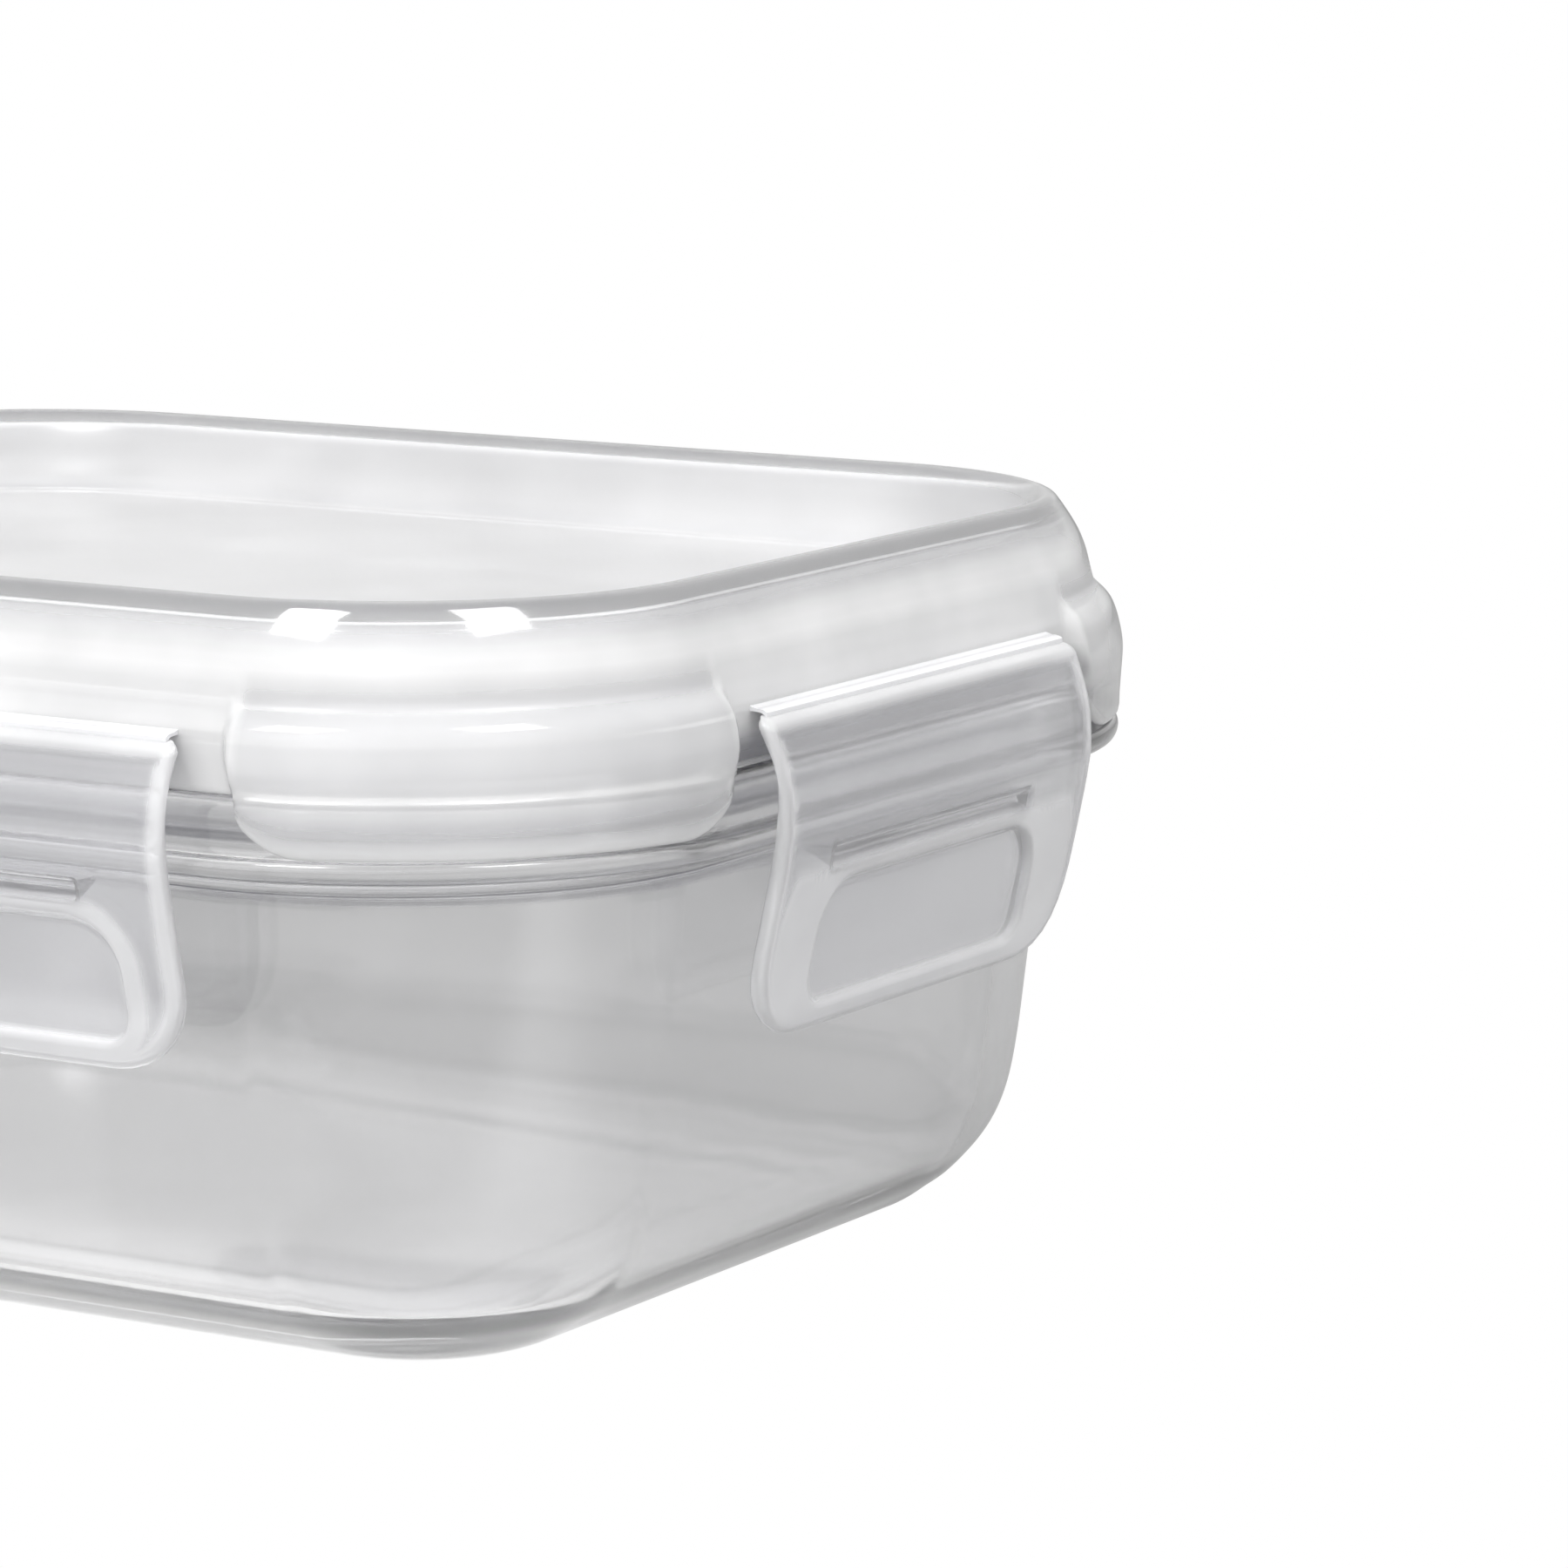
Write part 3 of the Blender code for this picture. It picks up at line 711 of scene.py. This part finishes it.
def new_material(name):
    material = bpy.data.materials.new(name)
    material.use_nodes = True
    nodes = material.node_tree.nodes
    shader = nodes["Principled BSDF"]
    return material, nodes, material.node_tree.links, shader


def noise_node(nodes, links, scale, detail):
    where = nodes.new("ShaderNodeTexCoord")
    texture = nodes.new("ShaderNodeTexNoise")
    texture.inputs["Scale"].default_value = scale
    texture.inputs["Detail"].default_value = detail
    links.new(where.outputs["Object"], texture.inputs["Vector"])
    return texture.outputs["Fac"]


def ranged(nodes, links, value, low, high):
    """A noise value, mostly 0.3 to 0.7, spread over low to high."""
    node = nodes.new("ShaderNodeMapRange")
    links.new(value, node.inputs["Value"])
    node.inputs["From Min"].default_value = 0.3
    node.inputs["From Max"].default_value = 0.7
    node.inputs["To Min"].default_value = low
    node.inputs["To Max"].default_value = high
    return node.outputs["Result"]


def bump(nodes, links, height, strength, distance, shader):
    node = nodes.new("ShaderNodeBump")
    node.inputs["Strength"].default_value = strength
    node.inputs["Distance"].default_value = distance
    links.new(height, node.inputs["Height"])
    links.new(node.outputs["Normal"], shader.inputs["Normal"])


def attribute_value(nodes, name):
    """A value that skin() stored on the mesh, 0 where the mesh has none."""
    node = nodes.new("ShaderNodeAttribute")
    node.attribute_name = name
    return node.outputs["Fac"]


def calculated(nodes, links, operation, first, second):
    """Maths on two values, each a socket or a number."""
    node = nodes.new("ShaderNodeMath")
    node.operation = operation
    for value, socket in zip((first, second), node.inputs):
        if isinstance(value, float):
            socket.default_value = value
        else:
            links.new(value, socket)
    return node.outputs[0]


def blended(nodes, links, share, start, end):
    """Start where the share is 0, end where it is 1. Start may be a socket or a number."""
    node = nodes.new("ShaderNodeMix")
    links.new(share, node.inputs["Factor"])
    if isinstance(start, float):
        node.inputs["A"].default_value = start
    else:
        links.new(start, node.inputs["A"])
    node.inputs["B"].default_value = end
    return node.outputs["Result"]


def glass_material():
    """Pressed glass, slightly wavy, with a rougher rim."""
    material, nodes, links, shader = new_material("pressed_glass")
    shader.inputs["Base Color"].default_value = (0.985, 0.985, 0.99, 1)
    shader.inputs["Transmission Weight"].default_value = 1.0
    shader.inputs["IOR"].default_value = 1.47
    waves = noise_node(nodes, links, 38.0, 2.0)
    smear = noise_node(nodes, links, 90.0, 3.0)
    frost = attribute_value(nodes, "frost")
    wall_roughness = ranged(nodes, links, smear, 0.05, 0.09)
    links.new(blended(nodes, links, frost, wall_roughness, ROUGH_RIM), shader.inputs["Roughness"])
    bump(nodes, links, waves, 0.05, 0.0012, shader)
    shader.inputs["Coat Weight"].default_value = 1.0
    shader.inputs["Coat Roughness"].default_value = 0.03
    shader.inputs["Coat IOR"].default_value = 1.45
    return material


def plastic_material(name, clear_colour, cloudy_colour, ior, rough, clouds, wave):
    """Moulded plastic: see-through where its milk is 0, white where it is 1, dull where it is frosted.

    Clouds gives the share of cloudy plastic at milk 0 and 1, and wave the scale of the surface's waves.
    """
    material, nodes, links, shader = new_material(name)
    shader.inputs["IOR"].default_value = ior
    smear = noise_node(nodes, links, 160.0, 3.0)
    frost = attribute_value(nodes, "frost")
    polished = ranged(nodes, links, smear, rough * 0.85, rough * 1.15)
    links.new(blended(nodes, links, frost, polished, FROSTED), shader.inputs["Roughness"])
    links.new(blended(nodes, links, frost, 1.0, 0.0), shader.inputs["Coat Weight"])
    waves = noise_node(nodes, links, wave, 2.0)
    bump(nodes, links, waves, 0.05, 0.001, shader)
    milk = attribute_value(nodes, "milk")
    amount = nodes.new("ShaderNodeMapRange")
    links.new(milk, amount.inputs["Value"])
    amount.inputs["To Min"].default_value = clouds[0]
    amount.inputs["To Max"].default_value = clouds[1]
    patches = ranged(nodes, links, noise_node(nodes, links, 55.0, 3.0), 0.88, 1.12)
    cloudiness = calculated(nodes, links, "MULTIPLY", amount.outputs["Result"], patches)
    clearness = calculated(nodes, links, "SUBTRACT", 1.0, cloudiness)
    links.new(clearness, shader.inputs["Transmission Weight"])
    colour = nodes.new("ShaderNodeMix")
    colour.data_type = "RGBA"
    links.new(milk, colour.inputs["Factor"])
    colour.inputs["A"].default_value = (*clear_colour, 1)
    colour.inputs["B"].default_value = (*cloudy_colour, 1)
    links.new(colour.outputs["Result"], shader.inputs["Base Color"])
    shader.inputs["Coat Roughness"].default_value = 0.04
    shader.inputs["Coat IOR"].default_value = 1.45
    return material


# ------------------------------------------------------------------ stage

SOFTBOX_SIZE = 0.26
SOFTBOX_DISTANCE = 1.0
CAMERA_LENS = 147.8
CAMERA_AZIMUTH = 30.99
CAMERA_ELEVATION = 9.43
CAMERA_PLACE = Vector((HALF_X + 0.2750, -HALF_Y - 0.4186, 0.1393))
BOUNCES = 64
BACKDROP = (1.0, 1.0, 1.0)
FLOOR_HALF = 4.0
FLOOR_DROP = 0.2 * MM
FLOOR_DEPTH = 0.5
FLOOR_REACH = 0.3
# Painted light on the floor, which emits grey instead of being lit: its brightness from 0.5 m in front of
# the middle to 0.5 m behind it, brighter in front, darker under and behind the tub, with a bright strip
# close in front of the tub.
PAINTED_LIGHT_ALONG_FLOOR = (
    (0.0, 1.0), (0.25, 0.95), (0.38, 0.8), (0.425, 0.65), (0.445, 1.0), (0.465, 0.85), (0.485, 0.53),
    (0.51, 0.4), (0.55, 0.38), (0.6, 0.43), (0.65, 0.48), (1.0, 0.5)
)
# Painted light across it, from 0.3 m to the left to 0.3 m to the right, brighter towards the right.
PAINTED_LIGHT_ACROSS_FLOOR = ((0.0, 0.72), (0.25, 0.76), (0.42, 0.93), (0.5, 1.1), (0.63, 1.15), (1.0, 1.35))
# Brightness by height: 0 straight down, 0.5 at the horizon, 1 overhead.
SKY = (
    (0.0, 0.45), (0.5, 0.5), (0.53, 0.62), (0.56, 0.76), (0.6, 0.7), (0.68, 0.78), (0.8, 1.2),
    (0.9, 1.35), (1.0, 1.45)
)
# More light from the front and from the right: 0.5 at a right angle to the direction, 1 in it.
FRONT_FILL = ((0.5, 1.0), (0.88, 1.4), (0.97, 2.1), (1.0, 2.4))
RIGHT_SIDE = ((0.5, 1.0), (0.75, 1.05), (1.0, 1.2))


def seen_by_camera(nodes, links, plain, other):
    """The plain shader where the camera looks straight at it, the other through and in the glass."""
    path = nodes.new("ShaderNodeLightPath")
    mix = nodes.new("ShaderNodeMixShader")
    links.new(path.outputs["Is Camera Ray"], mix.inputs["Fac"])
    links.new(other, mix.inputs[1])
    links.new(plain, mix.inputs[2])
    return mix.outputs[0]


def make_floor():
    mesh = bpy.data.meshes.new("floor")
    corners = [(FLOOR_HALF * x, FLOOR_HALF * y, 0) for x, y in ((-1, -1), (1, -1), (1, 1), (-1, 1))]
    mesh.from_pydata(corners, [], [(0, 1, 2, 3)])
    floor = bpy.data.objects.new("floor", mesh)
    floor.location.z = -FLOOR_DROP
    bpy.context.scene.collection.objects.link(floor)
    material, nodes, links, shader = new_material("floor_white_painted_light")
    nodes.remove(shader)
    paper = nodes.new("ShaderNodeEmission")
    paper.inputs["Color"].default_value = (*BACKDROP, 1)
    # Painted light: away from the camera, the floor emits a grey graded by place, standing in for how the
    # studio light falls on it, so it takes no lamp light and no shadow.
    floor_painted_light = nodes.new("ShaderNodeEmission")
    where = nodes.new("ShaderNodeTexCoord")
    split = nodes.new("ShaderNodeSeparateXYZ")
    links.new(where.outputs["Object"], split.inputs[0])
    levels = []
    for coordinate, reach, stops in (("Y", FLOOR_DEPTH, PAINTED_LIGHT_ALONG_FLOOR), ("X", FLOOR_REACH, PAINTED_LIGHT_ACROSS_FLOOR)):
        place = nodes.new("ShaderNodeMapRange")
        links.new(split.outputs[coordinate], place.inputs["Value"])
        place.inputs["From Min"].default_value = -reach
        place.inputs["From Max"].default_value = reach
        levels.append(world_ramp(nodes, links, place.outputs["Result"], stops))
    links.new(times(nodes, links, *levels), floor_painted_light.inputs["Color"])
    surface = seen_by_camera(nodes, links, paper.outputs[0], floor_painted_light.outputs[0])
    links.new(surface, nodes["Material Output"].inputs["Surface"])
    floor.data.materials.append(material)
    return floor


def direction_to(azimuth, elevation):
    """A unit vector, from degrees."""
    a, e = math.radians(azimuth), math.radians(elevation)
    return Vector((math.cos(a) * math.cos(e), math.sin(a) * math.cos(e), math.sin(e)))


def softbox(name, azimuth, elevation, radiance):
    light = bpy.data.lights.new(name, "AREA")
    light.shape = "RECTANGLE"
    light.size = light.size_y = SOFTBOX_SIZE
    light.energy = radiance * math.pi * SOFTBOX_SIZE ** 2
    lamp = bpy.data.objects.new(name, light)
    direction = direction_to(azimuth, elevation)
    lamp.location = Vector((0, 0, 0.05)) + direction * SOFTBOX_DISTANCE
    lamp.rotation_mode = "QUATERNION"
    lamp.rotation_quaternion = (-direction).to_track_quat("-Z", "Y")
    bpy.context.scene.collection.objects.link(lamp)
    return lamp


def world_ramp(nodes, links, value, stops):
    node = nodes.new("ShaderNodeValToRGB")
    ramp = node.color_ramp
    ramp.elements[0].position, ramp.elements[1].position = stops[0][0], stops[-1][0]
    for position, _ in stops[1:-1]:
        ramp.elements.new(position)
    for element, (_, level) in zip(ramp.elements, stops):
        element.color = (level, level, level, 1)
    links.new(value, node.inputs["Fac"])
    return node.outputs["Color"]


def toward(nodes, links, direction, azimuth, elevation):
    """0 to 1: how near the direction is to the given one, 0.5 at a right angle to it."""
    dot = nodes.new("ShaderNodeVectorMath")
    dot.operation = "DOT_PRODUCT"
    links.new(direction, dot.inputs[0])
    dot.inputs[1].default_value = direction_to(azimuth, elevation)
    half = nodes.new("ShaderNodeMath")
    half.operation = "MULTIPLY_ADD"
    links.new(dot.outputs["Value"], half.inputs[0])
    half.inputs[1].default_value = 0.5
    half.inputs[2].default_value = 0.5
    return half.outputs[0]


def times(nodes, links, a, b):
    node = nodes.new("ShaderNodeMix")
    node.data_type = "RGBA"
    node.blend_type = "MULTIPLY"
    node.inputs["Factor"].default_value = 1.0
    links.new(a, node.inputs["A"])
    links.new(b, node.inputs["B"])
    return node.outputs["Result"]


def make_world():
    world = bpy.data.worlds.new("studio")
    bpy.context.scene.world = world
    world.use_nodes = True
    nodes, links = world.node_tree.nodes, world.node_tree.links
    direction = nodes.new("ShaderNodeTexCoord").outputs["Generated"]
    height = toward(nodes, links, direction, 0, 90)
    sky = world_ramp(nodes, links, height, SKY)
    front = world_ramp(nodes, links, toward(nodes, links, direction, -95, 12), FRONT_FILL)
    right = world_ramp(nodes, links, toward(nodes, links, direction, -5, 25), RIGHT_SIDE)
    studio = nodes["Background"]
    links.new(times(nodes, links, times(nodes, links, sky, front), right), studio.inputs["Color"])
    plain = nodes.new("ShaderNodeBackground")
    plain.inputs["Color"].default_value = (*BACKDROP, 1)
    surface = seen_by_camera(nodes, links, plain.outputs[0], studio.outputs[0])
    links.new(surface, nodes["World Output"].inputs["Surface"])


def make_camera():
    camera = bpy.data.cameras.new("camera")
    camera.sensor_width = 36.0
    camera.lens = CAMERA_LENS
    camera.clip_start, camera.clip_end = 0.01, 20
    obj = bpy.data.objects.new("camera", camera)
    obj.location = CAMERA_PLACE
    obj.rotation_mode = "QUATERNION"
    away = direction_to(CAMERA_AZIMUTH - 90, CAMERA_ELEVATION)
    obj.rotation_quaternion = (-away).to_track_quat("-Z", "Y")
    bpy.context.scene.collection.objects.link(obj)
    bpy.context.scene.camera = obj


def main():
    make_tub(glass_material())
    make_lid(plastic_material("lid_plastic", **LID_PLASTIC))
    # The seal's material is dark as painted shade for the shadowed gap under the flange.
    make_seal(plastic_material("seal_silicone", **SEAL_SILICONE_PAINTED_SHADE))
    clip_plastic = plastic_material("clip_plastic", **CLIP_PLASTIC)
    hinge_plastic = plastic_material("hinge_plastic", **HINGE_PLASTIC)
    for side in OUTWARD:
        make_clip(side, clip_plastic)
        make_hinge(side, hinge_plastic)
    make_floor()
    make_world()
    softbox("softbox_front", -100, 56, radiance=11)
    softbox("softbox_right", -17, 58, radiance=8)
    make_camera()
    scene = bpy.context.scene
    scene.view_settings.view_transform = "Standard"
    scene.cycles.max_bounces = BOUNCES
    scene.cycles.transmission_bounces = BOUNCES
    scene.cycles.glossy_bounces = BOUNCES
    scene.cycles.transparent_max_bounces = 16


main()
